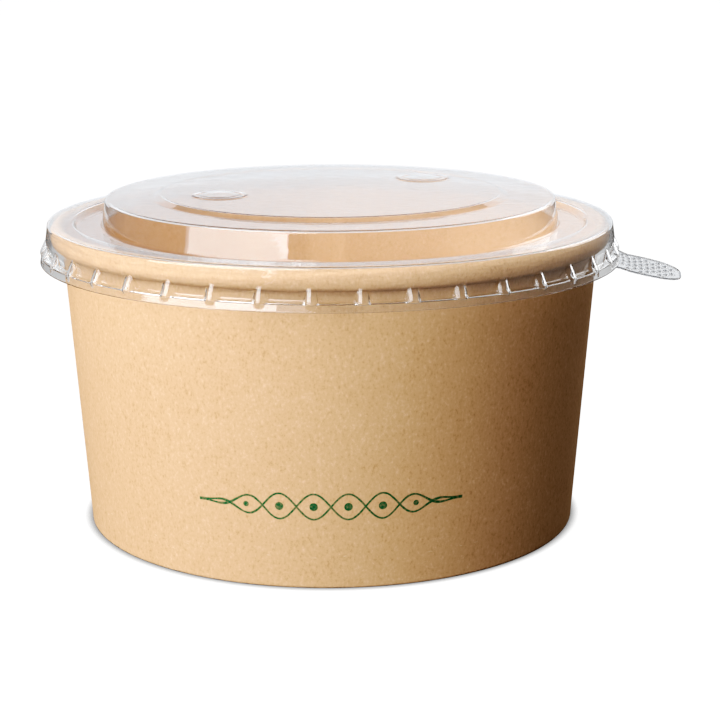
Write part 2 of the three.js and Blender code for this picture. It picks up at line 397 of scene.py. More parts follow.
class Nodes:
    """A node tree with short calls for what the finishes are made of."""

    def __init__(self, tree: bpy.types.NodeTree) -> None:
        """Works on the given tree."""
        self.tree = tree

    def feed(self, socket: Socket, value: object) -> None:
        """Gives an input its value.

        Args:
            socket: The input.
            value: A field or a node's output, which is linked, or a plain value.
        """
        source = value.socket if isinstance(value, Field) else value
        if isinstance(source, bpy.types.NodeSocket):
            self.tree.links.new(source, socket)
        else:
            socket.default_value = source

    def add(
        self, kind: str, inputs: dict[str | int, object] | None = None, **settings: object,
    ) -> bpy.types.Node:
        """Adds a node.

        Args:
            kind: The node's type name.
            inputs: Values or sockets for its inputs, by name or number.
            **settings: Its properties.

        Returns:
            The node.
        """
        node = self.tree.nodes.new(kind)
        for key, value in settings.items():
            setattr(node, key, value)
        for key, value in (inputs or {}).items():
            self.feed(node.inputs[key], value)
        return node

    def field(
        self, kind: str, inputs: dict[str | int, object] | None = None, output: str | int = 0,
        **settings: object,
    ) -> Field:
        """Adds a node and returns one of its outputs, the first unless another is given."""
        return Field(self, self.add(kind, inputs, **settings).outputs[output])

    def math(self, operation: str, *values: Value) -> Field:
        """Adds a Math node and returns its result."""
        return self.field("ShaderNodeMath", dict(enumerate(values)), operation=operation)

    def step(self, value: Value, low: float, high: float) -> Field:
        """A smooth rise from 0 at low to 1 at high, or a fall where low is above high.

        Args:
            value: Where to read the step.
            low: Where the result is 0.
            high: Where the result is 1.

        Returns:
            A value from 0 to 1.
        """
        fall = low > high
        span = {"Value": value, "From Min": min(low, high), "From Max": max(low, high)}
        span |= {"To Min": float(fall), "To Max": float(not fall)}
        return self.field("ShaderNodeMapRange", span, interpolation_type="SMOOTHSTEP")

    def spread(self, value: Value, low: float, high: float, to_low: float, to_high: float) -> Field:
        """Maps one range of values evenly onto another."""
        span = {"Value": value, "From Min": low, "From Max": high, "To Min": to_low, "To Max": to_high}
        return self.field("ShaderNodeMapRange", span)

    def mix(self, share: Value, one: object, two: object) -> Field:
        """The colour one where the share is 0, and two where it is 1."""
        return self.field("ShaderNodeMix", {0: share, 6: one, 7: two}, 2, data_type="RGBA")

    def either(self, choice: Value, one: Value, two: Value) -> Field:
        """The value one where the choice is 0, and two where it is 1."""
        return self.field("ShaderNodeMix", {0: choice, 2: one, 3: two}, data_type="FLOAT")

    def noise(self, at: Value, scale: float, detail: float = 2.0, roughness: float = 0.5) -> Field:
        """A noise value at a place.

        Args:
            at: The place as a vector.
            scale: Waves for each unit of the place.
            detail: Number of finer octaves.
            roughness: Strength of the finer octaves.

        Returns:
            The noise, about 0.5 on average.
        """
        inputs = {"Vector": at, "Scale": scale, "Detail": detail, "Roughness": roughness}
        return self.field("ShaderNodeTexNoise", inputs, "Fac")

    def place(self) -> Field:
        """Reads where a point of the surface lies.

        Returns:
            The place in millimetres, from the bowl's axis and the standing plane.
        """
        at = self.field("ShaderNodeTexCoord", output="Object")
        axis = (bowl_axis(), 0.0, 0.0)
        shifted = self.field("ShaderNodeVectorMath", {0: at, 1: axis}, operation="SUBTRACT")
        return self.field("ShaderNodeVectorMath", {0: shifted, "Scale": 1 / MM}, operation="SCALE")

    def stretched(self, at: Value, x: float, y: float, z: float) -> Field:
        """A place with its three parts scaled."""
        return self.field("ShaderNodeVectorMath", {0: at, 1: (x, y, z)}, operation="MULTIPLY")

    def parts(self, at: Value) -> list[Field]:
        """The three parts of a place."""
        return [Field(self, part) for part in self.add("ShaderNodeSeparateXYZ", {0: at}).outputs]


def new_material(name: str) -> tuple[bpy.types.Material, Nodes, bpy.types.Node]:
    """Makes an empty material.

    Args:
        name: The material's name.

    Returns:
        The material, its nodes and its output node.
    """
    material = bpy.data.materials.new(name)
    material.use_nodes = True
    material.node_tree.nodes.clear()
    nodes = Nodes(material.node_tree)
    return material, nodes, nodes.add("ShaderNodeOutputMaterial")


class Layer(NamedTuple):
    """A layer of noise in the board's tone: its waves for each millimetre, and its strength."""

    scale: float
    strength: float


@dataclass(frozen=True)
class FibreGroup:
    """The shared look of pressed paper fibres, as one shader node group."""

    name: str = "paper_fibres"
    clouds: Layer = Layer(0.06, 0.35)  # broad changes of tone
    patches: Layer = Layer(0.55, 0.8)
    grain: Layer = Layer(1.5, 1.9)
    swing: float = 0.55  # change of tone that gives the dark or the pale fibre's full colour
    hair: tuple[float, float] = (0.007, 0.002)  # half of a hair and of its core, in its noise's values
    hair_areas: float = 0.21  # areas with hairs, for each millimetre
    hairy: tuple[float, float] = (0.56, 0.66)  # noise at which an area begins to have them, and has all
    cell: float = 0.34  # cells for a fleck, for each millimetre
    fleck: tuple[float, float] = (0.13, 0.04)  # radius of a fleck and of its core, in cells
    chosen: tuple[float, float] = (0.74, 0.9)  # a cell's chance at which it begins to have one, and has it

    def tree(self) -> bpy.types.NodeTree:
        """The group, built the first time that it is asked for.

        Returns:
            The group with the inputs Place, Board, Dark Fibre, Pale Fibre, Mottle, Hairs and Flecks, and
            the outputs Color and Height.
        """
        if self.name in bpy.data.node_groups:
            return bpy.data.node_groups[self.name]
        tree = bpy.data.node_groups.new(self.name, "ShaderNodeTree")
        for side, kind, names in (
            ("INPUT", "Vector", ["Place"]), ("INPUT", "Color", ["Board", "Dark Fibre", "Pale Fibre"]),
            ("INPUT", "Float", ["Mottle", "Hairs", "Flecks"]), ("OUTPUT", "Color", ["Color"]),
            ("OUTPUT", "Float", ["Height"]),
        ):
            for name in names:
                tree.interface.new_socket(name=name, in_out=side, socket_type="NodeSocket" + kind)
        self.fill(Nodes(tree))
        return tree

    def fill(self, n: Nodes) -> None:
        """Puts the nodes into the group.

        Args:
            n: The group's nodes.
        """
        given = n.add("NodeGroupInput").outputs
        at = given["Place"]
        clouds = n.noise(at, self.clouds.scale, 3.0)
        patches = n.noise(n.stretched(at, 1.0, 1.0, 0.6), self.patches.scale, 4.0, 0.7)
        grain = n.noise(n.stretched(at, 1.0, 1.0, 0.7), self.grain.scale, 2.0, 0.7)
        tone = (clouds - 0.5) * self.clouds.strength + (patches - 0.5) * self.patches.strength
        tone = (tone + (grain - 0.5) * self.grain.strength) * given["Mottle"]
        colour = n.mix(n.step(tone, 0.0, self.swing), given["Board"], given["Dark Fibre"])
        colour = n.mix(n.step(tone, 0.0, -self.swing), colour, given["Pale Fibre"])

        waver = n.noise(n.stretched(at, 0.16, 0.16, 0.55), 1.0, 2.0)
        hair = n.step(abs(waver - 0.5), *self.hair)
        hair = hair * n.step(n.noise(at, self.hair_areas, 1.0), *self.hairy) * given["Hairs"]
        colour = n.mix(hair, colour, given["Pale Fibre"])

        sizes = {"Vector": n.stretched(at, 1.0, 1.0, 0.45), "Scale": self.cell}
        cells = n.add("ShaderNodeTexVoronoi", sizes).outputs
        chance = n.field("ShaderNodeSeparateColor", {0: cells["Color"]})
        fleck = n.step(cells["Distance"], *self.fleck) * n.step(chance, *self.chosen)
        colour = n.mix(fleck * given["Flecks"], colour, given["Dark Fibre"])
        n.add("NodeGroupOutput", {"Color": colour, "Height": grain * 0.7 + hair * 0.5})


@dataclass(frozen=True)
class PrintedBand:
    """A printed border: two crossing wave lines with round dots between them, in one green ink."""

    ink: Colour = (0.012, 0.115, 0.05)
    azimuth: float = 7.75  # middle of the border, from -Y towards +X
    height: float = 21.5
    half_length: float = 34.0
    radius: float = 68.45  # of the wall at that height
    wave: float = 17.0  # length of one wave
    swing: float = 3.3  # height of a wave over the middle line
    run_out: float = 1.2  # waves over which it runs out at each end
    line: float = 0.5  # width of a line
    dot: float = 1.05  # radius of a dot
    edge: float = 0.09  # softness of the ink's edge

    def mask(self, n: Nodes, at: Field) -> Field:
        """Where the ink lies.

        Args:
            n: The nodes of the wall's finish.
            at: The place in millimetres.

        Returns:
            1 where there is ink and 0 elsewhere.
        """
        x, y, z = n.parts(at)
        along = (n.math("ARCTAN2", x, y * -1.0) - math.radians(self.azimuth)) * self.radius
        level = z - self.height
        phase = along * (2 * math.pi / self.wave)
        reach = abs(along)
        swing = n.step(reach, self.half_length, self.half_length - self.run_out * self.wave) * self.swing
        rise = n.math("SINE", phase) * swing
        slope = n.math("COSINE", phase) * (self.swing * 2 * math.pi / self.wave)
        lean = n.math("SQRT", slope * slope + 1.0)
        upper, lower = (self.stroke(n, away / lean) for away in (level - rise, level + rise))
        ink = n.math("MAXIMUM", upper, lower)
        ink = ink * n.step(reach, self.half_length, self.half_length - 2 * self.edge)

        aside = n.math("PINGPONG", along + self.wave, self.wave / 4) - self.wave / 4
        away = n.math("SQRT", aside * aside + level * level)
        dot = n.step(away - swing / self.swing * self.dot, self.edge, -self.edge)
        dot = dot * n.step(swing, 0.25 * self.swing, 0.3 * self.swing)
        return n.math("MAXIMUM", ink, dot)

    def stroke(self, n: Nodes, distance: Field) -> Field:
        """The ink of a line, from the distance to its middle."""
        half = self.line / 2
        return n.step(abs(distance), half + self.edge, half - self.edge)


@dataclass(frozen=True)
class RubMarks:
    """Pale rubbed dashes in a ring where the wall lies over the hem's top."""

    height: float = 8.3
    wander: float = 5.0  # how far the ring strays up and down
    half_width: float = 0.16
    colour: Colour = (0.82, 0.62, 0.4)
    strength: float = 0.65

    def mask(self, n: Nodes, at: Field) -> Field:
        """Where the board is rubbed.

        Args:
            n: The nodes of the wall's finish.
            at: The place in millimetres.

        Returns:
            The strength of the rubbing.
        """
        waver = (n.noise(n.stretched(at, 1, 1, 0), 0.16, 2.0) - 0.5) * self.wander
        away = abs(n.parts(at)[2] - self.height - waver)
        line = n.step(away, self.half_width, 0.3 * self.half_width)
        gaps = n.step(n.noise(n.stretched(at, 1, 1, 0.2), 0.5, 3.0, 0.7), 0.56, 0.66)
        return line * gaps * self.strength


@dataclass(frozen=True)
class RimCreases:
    """Fine creases that run along the rim, where the board is rolled over."""

    low: float = 75.8  # height at which they begin
    high: float = 77.0  # height from which they are at their full depth
    depth: float = 0.3

    def relief(self, n: Nodes, at: Field) -> Field:
        """Height of the creased board in millimetres.

        Args:
            n: The nodes of the wall's finish.
            at: The place in millimetres.

        Returns:
            The height.
        """
        folds = n.noise(n.stretched(at, 0.3, 0.3, 1.0), 1.0, 4.0, 0.65)
        return folds * self.depth * n.step(n.parts(at)[2], self.low, self.high)


@dataclass(frozen=True)
class KraftFinish:
    """Brown kraft board: mottled fibres, a dull surface and, where it is coated, a faint shine."""

    name: str
    board: Colour = (0.67, 0.415, 0.235)
    dark: Colour = (0.5, 0.283, 0.14)
    pale: Colour = (0.8, 0.54, 0.335)
    mottle: float = 0.75
    hairs: float = 0.4
    flecks: float = 0.6
    roughness: float = 0.78
    shine: float = 0.25
    coat: float = 0.0
    coat_roughness: float = 0.35
    relief: float = 0.05  # height of the fibres in millimetres
    band: PrintedBand | None = None
    rubbing: RubMarks | None = None
    creases: RimCreases | None = None

    def material(self) -> bpy.types.Material:
        """Builds the material.

        Returns:
            The material.
        """
        material, n, output = new_material(self.name)
        at = n.place()
        fibres = n.add("ShaderNodeGroup", {
            "Place": at,
            "Board": (*self.board, 1),
            "Dark Fibre": (*self.dark, 1),
            "Pale Fibre": (*self.pale, 1),
            "Mottle": self.mottle,
            "Hairs": self.hairs,
            "Flecks": self.flecks,
        }, node_tree=FibreGroup().tree()).outputs
        colour = fibres["Color"]
        if self.rubbing:
            colour = n.mix(self.rubbing.mask(n, at), colour, (*self.rubbing.colour, 1))
        if self.band:
            worn = n.spread(n.noise(at, 1.6, 3.0), 0.35, 0.6, 0.78, 1.0)
            colour = n.mix(self.band.mask(n, at) * worn, colour, (*self.band.ink, 1))
        height = Field(n, fibres["Height"]) * self.relief
        if self.creases:
            height = height + self.creases.relief(n, at)
        shader = n.field("ShaderNodeBsdfPrincipled", {
            "Base Color": colour,
            "Roughness": self.roughness,
            "Specular IOR Level": self.shine,
            "Coat Weight": self.coat,
            "Coat Roughness": self.coat_roughness,
            "Normal": n.field("ShaderNodeBump", {"Strength": 1.0, "Distance": MM, "Height": height}),
        })
        n.feed(output.inputs["Surface"], shader)
        return material


@dataclass(frozen=True)
class FilmFinish:
    """Clear thermoformed film: glossy, faintly uneven, and open to the light of the lamps."""

    EMBOSS = "emboss"  # name of the mesh attribute that holds how far the film is embossed, which also places the painted shade

    name: str = "clear_film"
    tint: Colour = (0.97, 0.975, 0.98)
    painted_shade_tint: Colour | None = None  # painted shade: a dark tint where the film is embossed, in place of the dark reflections of the grip bumps and turned-up edge
    refraction: float = 1.57
    roughness: float = 0.03
    uneven: float = 0.012  # height of the film's unevenness in millimetres
    shadow: Colour = (0.86, 0.86, 0.86)  # what one face of it leaves of a lamp's light

    def material(self) -> bpy.types.Material:
        """Builds the material.

        Returns:
            The material.
        """
        material, n, output = new_material(self.name)
        at = n.place()
        haze = n.spread(n.noise(at, 0.2, 3.0), 0.35, 0.65, self.roughness * 0.6, self.roughness * 1.6)
        tint: Field | tuple[float, ...] = (*self.tint, 1)
        # Painted shade: the embossed parts get a dark tint in place of the dark reflections that they
        # show.
        if self.painted_shade_tint:
            embossed = n.field("ShaderNodeAttribute", output="Fac", attribute_name=self.EMBOSS)
            tint = n.mix(n.step(embossed, 0.1, 0.7), tint, (*self.painted_shade_tint, 1))
        ripple = {"Strength": 1.0, "Distance": self.uneven * MM, "Height": n.noise(at, 0.3, 2.0)}
        glass = n.field("ShaderNodeBsdfPrincipled", {
            "Base Color": tint,
            "Roughness": haze,
            "IOR": self.refraction,
            "Transmission Weight": 1.0,
            "Normal": n.field("ShaderNodeBump", ripple),
        })
        clear = n.field("ShaderNodeBsdfTransparent", {"Color": (*self.shadow, 1)})
        path = n.add("ShaderNodeLightPath").outputs
        trapped = n.math("GREATER_THAN", path["Ray Depth"], TRAPPED)
        straight = n.math("MAXIMUM", path["Is Shadow Ray"], trapped)
        film = n.field("ShaderNodeMixShader", {0: straight, 1: glass, 2: clear})
        n.feed(output.inputs["Surface"], film)
        return material


# ---- Bowl ----


@dataclass
class Bowl:
    """The paperboard bowl: the wall with its rolled rim and hem, and the base disc."""

    board: float = 0.45
    fit: float = 0.1  # air between pieces that touch
    foot_radius: float = 66.9
    flare: float = 0.0712  # growth of the radius for each millimetre of height
    fold: float = 0.25
    fold_round: float = 0.07  # how far the fold's corner is cut back to make it round
    hem_height: float = 7.0
    recess: float = 7.5
    base_middle: float = 8.0  # radius of the base's innermost ring
    base_fillets: tuple[float, float] = (0.6, 0.3)  # of the base's edge, above and below
    rim_radius: float = 75.35
    rim_top: float = 81.8
    roll_width: float = 3.9
    roll_height: float = 5.7
    roll_lip: float = -120.0
    roll_step: float = 10.0
    crease: float = 0.07  # unevenness of the rolled rim
    crease_run: float = 2.0  # height over which it sets in; a ring lies as far below the roll
    crease_swing: float = 0.6  # share of the unevenness that goes in and out
    crease_inward: float = 0.5  # share that only goes in, which keeps the rim within its size
    waves_round: float = 9.0  # of the noise that draws it, for each radian round the rim
    waves_up: float = 0.25  # and for each millimetre of height
    finer: float = 2.7  # how much finer its second layer is
    finer_share: float = 0.6  # and its strength against the first
    lap_width: float = 7.0
    lap_azimuth: float = 112.0
    lap_pressed: float = 0.15  # how much less than the board's thickness the lap stands out
    edge_run: float = 0.15  # width of the slope at the lap's cut edges
    sides: int = 240
    face_levels: tuple[float, ...] = (0.6, 2, 8, 20, 40, 60)  # heights of the rings on the wall's outside
    inside_levels: tuple[float, ...] = (60, 40, 20, 9, 2)  # and of those on its inside
    folded_level: float = 1.0  # height of the ring inside the hem's fold
    on_face: float = 0.02  # distance from the wall's outside within which a point belongs to it
    clear: float = 0.1  # how far under the lap's upper end its last ring lies

    def wall_radius(self, height: float) -> float:
        """Outer radius of the wall at a height."""
        return self.foot_radius + self.flare * height

    def roll_foot(self) -> float:
        """Height at which the wall runs into the rolled rim."""
        return self.rim_top - self.roll_height

    def on_wall(self, height: float, inward: float = 0.0) -> Spot:
        """A place on the wall's outside, or further inward."""
        return Spot(self.wall_radius(height) - inward, height)

    def turn(self, width: float) -> float:
        """The angle in degrees that a width takes up round the foot."""
        return math.degrees(width / self.foot_radius)

    def angles(self) -> list[float]:
        """Angles round the wall, with extra ones at the edges of the lap.

        Returns:
            The angles in degrees, in order.
        """
        half, run = self.turn(self.lap_width) / 2, self.turn(self.edge_run)
        shifts = [half + shift * run for shift in (-1, 0, 1)]
        edges = [self.lap_azimuth + side * shift for side in (-1, 1) for shift in shifts]
        return sorted([a for a in around(self.sides) if all(abs(a - e) > run for e in edges)] + edges)

    def pressed(self, angle: float, spot: Spot) -> Spot:
        """Lifts the lap off the wall's outside and creases the rolled rim.

        Args:
            angle: Angle from +X.
            spot: Where the turned profile has the point.

        Returns:
            Where the point goes.
        """
        radius, height = spot
        outside = abs(radius - self.wall_radius(height)) < self.on_face
        if outside and self.fold < height < self.roll_foot() - self.fold:
            away = abs(angle - self.lap_azimuth) - self.turn(self.lap_width) / 2
            run = self.turn(self.edge_run)
            radius += (self.board - self.lap_pressed) * (1 - smooth_step(away, -run, run))
        share = smooth_step(height, self.roll_foot(), self.roll_foot() + self.crease_run)
        a = math.radians(angle)
        at = Vector((math.cos(a), math.sin(a), 0)) * self.waves_round
        at += Vector((0, 0, height * self.waves_up))
        elsewhere = at * self.finer + Vector((5, 3, 1))
        ripple = noise.noise(at) + self.finer_share * noise.noise(elsewhere)
        radius += self.crease * share * ripple * self.crease_swing
        radius -= self.crease * share * self.crease_inward
        return Spot(radius, height)

    def wall_profile(self) -> list[tuple[list[Spot], Board]]:
        """The path round the board's section, from the foot up over the roll and back into the hem.

        Returns:
            Its stretches, each with its material slot. The last one ends where the first begins.
        """
        gap = self.board + 2 * self.fit
        hem_outer, hem_inner = self.board + gap, 2 * self.board + gap
        half_width, half_height = self.roll_width / 2, self.roll_height / 2
        centre = Spot(self.rim_radius - half_width, self.rim_top - half_height)
        thin_width, thin_height = half_width - self.board, half_height - self.board
        inner = oval(centre, thin_width, thin_height, 180, self.roll_lip, self.roll_step)
        outer = oval(centre, half_width, half_height, self.roll_lip, 180, self.roll_step)
        low, foot = self.wall_radius(0), self.roll_foot()
        below = foot - self.crease_run
        heights = [self.fold, *self.face_levels, below, foot - self.fold - self.clear, foot]
        face = [Spot(low - self.fold, 0), Spot(low - self.fold_round, self.fold_round)]
        face += [self.on_wall(h) for h in heights]
        inside = [self.on_wall(h, self.board) for h in (foot, below, *self.inside_levels, self.board)]
        hem = [self.on_wall(h, hem_outer) for h in (self.board, self.hem_height)]
        folded = [self.on_wall(h, hem_inner) for h in (self.hem_height, self.folded_level, self.fold)]
        folded.append(Spot(low - hem_inner + self.fold, 0))
        return [
            (face + inner, Board.FACE),
            ([inner[-1], outer[0]], Board.CUT_EDGE),
            (outer, Board.FACE),
            ([outer[-1]] + inside + [hem[0]], Board.INSIDE),
            (hem, Board.INSIDE),
            ([hem[-1], folded[0]], Board.CUT_EDGE),
            (folded + [face[0]], Board.FACE),
        ]

    def build_wall(self, materials: Sequence[bpy.types.Material]) -> bpy.types.Object:
        """Builds the wall with its rolled rim and folded hem.

        Args:
            materials: The board's materials in the order of Board.

        Returns:
            The piece.
        """
        lathe = Lathe()
        angles = self.angles()
        first = last = None
        stretches = self.wall_profile()
        for number, (path, slot) in enumerate(stretches):
            spots = path if last is None else path[1:]
            closing = number == len(stretches) - 1
            for spot in spots[:-1] if closing else spots:
                ring = lathe.ring(spot, angles, self.pressed)
                if last:
                    lathe.strip(last, ring, slot.value)
                first, last = first or ring, ring
            if closing:
                lathe.strip(last, first, slot.value)
        piece = lathe.turn_off("wall", materials)
        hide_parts("bowl_wall")
        return piece

    def build_base(self, materials: Sequence[bpy.types.Material]) -> bpy.types.Object:
        """Builds the disc that closes the bottom, with its edge turned down into the hem.

        Args:
            materials: The board's materials in the order of Board.

        Returns:
            The piece.
        """
        def outside(height: float) -> float:
            """Radius of the turned-down edge's outside."""
            return self.wall_radius(height) - self.board - self.fit

        top, foot = self.recess + self.board, self.board + 3 * self.fit
        outer_fillet, inner_fillet = self.base_fillets
        upper = rounded([
            Corner(self.base_middle, top),
            Corner(outside(top), top, outer_fillet),
            Corner(outside(foot), foot),
        ])
        lower = rounded([
            Corner(outside(foot) - self.board, foot),
            Corner(outside(self.recess) - self.board, self.recess, inner_fillet),
            Corner(self.base_middle, self.recess),
        ])
        lathe = Lathe()
        rings = [lathe.ring(spot, around(self.sides)) for spot in upper + lower]
        for number, (one, two) in enumerate(zip(rings, rings[1:])):
            cut = number == len(upper) - 1
            slot = Board.CUT_EDGE if cut else Board.INSIDE if number < len(upper) else Board.FACE
            lathe.strip(one, two, slot.value)
        lathe.fan(rings[0], lathe.point(0, 0, top), Board.INSIDE.value)
        lathe.fan(rings[-1], lathe.point(0, 0, self.recess), Board.FACE.value)
        piece = lathe.turn_off("base", materials)
        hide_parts("bowl_base")
        return piece


# ---- Lid ----


@dataclass
class Ribs:
    """The ring of half-round ribs that lean out from the skirt's waist to the lip."""

    count: int = 40
    phase: float = 4.5
    radius: float = 1.9
    head: Spot = Spot(76.95, 77.2)  # upper end of a rib's outermost line
    foot: Spot = Spot(78.2, 74.6)  # its lower end, above the round foot
    blend: float = 0.22  # width of the soft corner between a rib and the skirt
    bed: float = 77.2  # radius at which widths are measured
    offsets: tuple[float, ...] = (0, 0.32, 0.64, 0.93, 1.2, 1.42, 1.6, 1.74, 1.86, 2.03, 2.25)
    between: int = 3  # plain steps between two ribs

    def angles(self) -> list[float]:
        """Angles round the skirt, close together at the ribs.

        Returns:
            The angles in degrees, in order.
        """
        pitch = 360 / self.count
        near = [math.degrees(o / self.bed) for o in self.offsets]
        span = pitch - 2 * near[-1]
        plain = [near[-1] + span * i / (self.between + 1) for i in range(1, self.between + 1)]
        period = sorted({*(-a for a in near), *near, *plain})
        return [self.phase + pitch * i + a for i in range(self.count) for a in period]

    def surface(self, aside: float, height: float, radius: float) -> float | None:
        """Where a rib's face lies.

        Args:
            aside: Sideways distance from the rib's middle.
            height: Height of the place.
            radius: Radius of the rounding, smaller on the film's inner face.

        Returns:
            The distance from the bowl's axis, or None beside the rib.
        """
        head, foot = Vector(self.head), Vector(self.foot)
        along = (head - foot).normalized()
        outward = Vector((along.y, -along.x))
        low, length = foot - outward * self.radius, (head - foot).length
        if abs(aside) >= radius:
            return None
        reach = math.sqrt(radius**2 - aside**2) / outward.x
        slope = along.x / along.y
        place = Vector((low.x + (height - low.y) * slope + reach, height))
        share = (place - low).dot(along)
        if 0 <= share <= length:
            return place.x
        ball = low if share < 0 else low + along * length
        rest = radius**2 - aside**2 - (height - ball.y) ** 2
        return ball.x + math.sqrt(rest) if rest > 0 else None

    def raised(self, angle: float, spot: Spot, inset: float) -> Spot:
        """Raises a point of the skirt to the rib that it lies under.

        Args:
            angle: Angle from +X.
            spot: Where the turned profile has the point.
            inset: How far the film's face lies inside the outer face.

        Returns:
            Where the point goes.
        """
        pitch = 360 / self.count
        aside = math.radians((angle - self.phase + pitch / 2) % pitch - pitch / 2) * self.bed
        face = self.surface(aside, spot.height, self.radius - inset)
        if face is None:
            return spot
        near = max(self.blend - abs(face - spot.radius), 0) / self.blend
        return Spot(max(face, spot.radius) + near * near * self.blend / 4, spot.height)


@dataclass
class PullTab:
    """The tab that sticks out from the lip, with rows of round grip bumps."""

    length: float = 16.9
    half_width: float = 10.9
    root_half_width: float = 13.6
    root_run: float = 4.0
    root_radius: float = 77.75
    root_height: float = 72.0
    droop: float = 12.6
    dip: float = 0.6  # how far it bends down past its root
    twist: float = 5.0
    width_power: float = 2.6
    length_power: float = 2.1
    end: float = 0.997
    start: float = 0.35  # distance past the root at which the tab's film leaves the lip's
    pitch_along: float = 3.2
    pitch_across: float = 4.2
    bump_radius: float = 0.85
    bump_height: float = 0.4
    bump_slope: float = 0.9  # share of a bump's radius over which it rises
    margin: float = 1.5
    rim: float = 0.6  # width of the edge that is turned up
    rim_rise: float = 0.22
    steps: int = 100
    steps_across: int = 120

    def width_at(self, distance: float) -> float:
        """Half the tab's width.

        Args:
            distance: Distance from the lip.

        Returns:
            Half the width there, which is greater at the root, where the tab runs into the lip.
        """
        share = max(distance, 0) / self.length
        body = self.half_width * (1 - share**self.length_power) ** (1 / self.width_power)
        run_out = max(1 - max(distance, 0) / self.root_run, 0) ** 2
        return body + (self.root_half_width - self.half_width) * run_out

    def laid(self, distance: float, across: float, lift: float) -> tuple[float, float, float]:
        """Lays a point of the flat tab where it belongs on the lid.

        Args:
            distance: Distance from the lip.
            across: Distance from the tab's middle line.
            lift: Height above the middle of the film.

        Returns:
            The point's place, measured from the bowl's axis.
        """
        bend = self.dip * smooth_step(distance, 0, self.root_run)
        drop = distance * math.tan(math.radians(self.droop)) + bend
        twist = math.tan(math.radians(self.twist)) * distance / self.length
        root = math.sqrt(self.root_radius**2 - across**2)
        straighten = 1 - smooth_step(distance, 0, self.length)
        x = self.root_radius + (root - self.root_radius) * straighten + distance
        return x, across, self.root_height - drop + across * twist + lift

    def bump(self, distance: float, across: float) -> float:
        """Height of the grip bumps over the flat film.

        Args:
            distance: Distance from the lip.
            across: Distance from the tab's middle line.

        Returns:
            The height.
        """
        row = round(distance / (self.pitch_along / 2))
        best = 0.0
        for near in (row - 1, row, row + 1):
            shift = (near % 2) / 2
            column = round(across / self.pitch_across - shift) + shift
            place = near * self.pitch_along / 2, column * self.pitch_across
            fits = place[0] + self.margin <= self.length and near >= 1
            if not fits or abs(place[1]) > self.width_at(place[0] + self.margin) - self.bump_radius:
                continue
            away = math.dist((distance, across), place) / self.bump_radius
            best = max(best, self.bump_height * smooth_step(1 - away, 0, self.bump_slope))
        return best

    def turned_up(self, distance: float, across: float) -> float:
        """How far the film is turned up along the tab's edge.

        Args:
            distance: Distance from the lip.
            across: Distance from the tab's middle line.

        Returns:
            The rise.
        """
        if distance < self.rim:
            return 0.0
        side = self.width_at(distance) - abs(across)
        side = min(side, self.end * self.length - distance)
        return self.rim_rise * (1 - smooth_step(side, 0, self.rim))

    def build(self, film: float, materials: Sequence[bpy.types.Material]) -> bpy.types.Object:
        """Builds the tab.

        Args:
            film: Thickness of the film.
            materials: The embossed film's finish, which paints shade on the bumps and the turned-up edge,
                and its cut edge's.

        Returns:
            The piece.
        """
        lathe = Lathe()
        reach = self.end * self.length - self.start
        sheets, embossing = [], []
        for side in (1, -1):
            rows = []
            for i in range(self.steps + 1):
                distance = self.start + reach * math.sin(i / self.steps * math.pi / 2)
                width = self.width_at(distance)
                row = []
                for j in range(self.steps_across + 1):
                    across = width * math.sin((2 * j / self.steps_across - 1) * math.pi / 2)
                    bump, rise = self.bump(distance, across), self.turned_up(distance, across)
                    # How far the film is embossed, which also sets where the painted shade goes.
                    embossing.append(max(bump / self.bump_height, rise / self.rim_rise))
                    lift = side * film / 2 + bump + rise
                    row.append(lathe.point(*self.laid(distance, across, lift)))
                rows.append(row)
            sheets.append(rows)
            for one, two in zip(rows, rows[1:]):
                for a, b, c, d in zip(one, one[1:], two[1:], two):
                    lathe.face((a, b, c, d))
        edges = [self.rim_of(rows) for rows in sheets]
        count = len(edges[0])
        for i in range(count):
            j = (i + 1) % count
            lathe.face((edges[0][i], edges[0][j], edges[1][j], edges[1][i]), 1)
        piece = lathe.turn_off("lid_tab", materials)
        attribute = piece.data.attributes.new(FilmFinish.EMBOSS, "FLOAT", "POINT")
        attribute.data.foreach_set("value", embossing)
        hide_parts("lid")
        return piece

    @staticmethod
    def rim_of(rows: list[list[int]]) -> list[int]:
        """The points round the edge of a grid, in order."""
        return rows[0] + [r[-1] for r in rows[1:-1]] + rows[-1][::-1] + [r[0] for r in rows[-2:0:-1]]


@dataclass
class Button:
    """A plain round button raised in the lid's panel."""

    distance: float
    azimuth: float
    radius: float = 7.5
    height: float = 0.3
    sides: int = 96
    profile: tuple[tuple[float, float], ...] = (
        (0.5, 0.0), (0.12, 0.0), (-0.05, 0.08), (-0.25, 0.55), (-0.45, 0.93), (-0.62, 1.0), (-1.1, 1.0),
        (-1.3, 0.9), (-1.55, 0.5), (-1.8, 0.45), (-2.05, 0.5), (-2.3, 0.9), (-2.5, 1.0), (-3.4, 1.0),
    )  # distances outward from the radius, and the share of the height there
    seam: float = 0.05  # how far inside its outermost ring a place still belongs to the panel

    def centre(self) -> tuple[float, float]:
        """Middle of the button, from the bowl's axis."""
        a = math.radians(self.azimuth)
        return self.distance * math.cos(a), self.distance * math.sin(a)

    def covers(self, place: Sequence[float]) -> bool:
        """Whether a place in the panel lies within the button."""
        return math.dist(place, self.centre()) <= self.radius + self.profile[0][0] - self.seam

    def build(self, lathe: Lathe, level: float) -> Ring:
        """Adds the button to the lid.

        Args:
            lathe: Where the lid is being made.
            level: Height of the flat panel on this side of the film.

        Returns:
            The button's outermost ring, which lies flat in the panel.
        """
        spots = [Spot(self.radius + out, level + self.height * share) for out, share in self.profile]
        rings = [lathe.ring(spot, around(self.sides), centre=self.centre()) for spot in spots]
        for one, two in zip(rings, rings[1:]):
            lathe.strip(one, two)
        lathe.fan(rings[-1], lathe.point(*self.centre(), spots[-1].height))
        return rings[0]


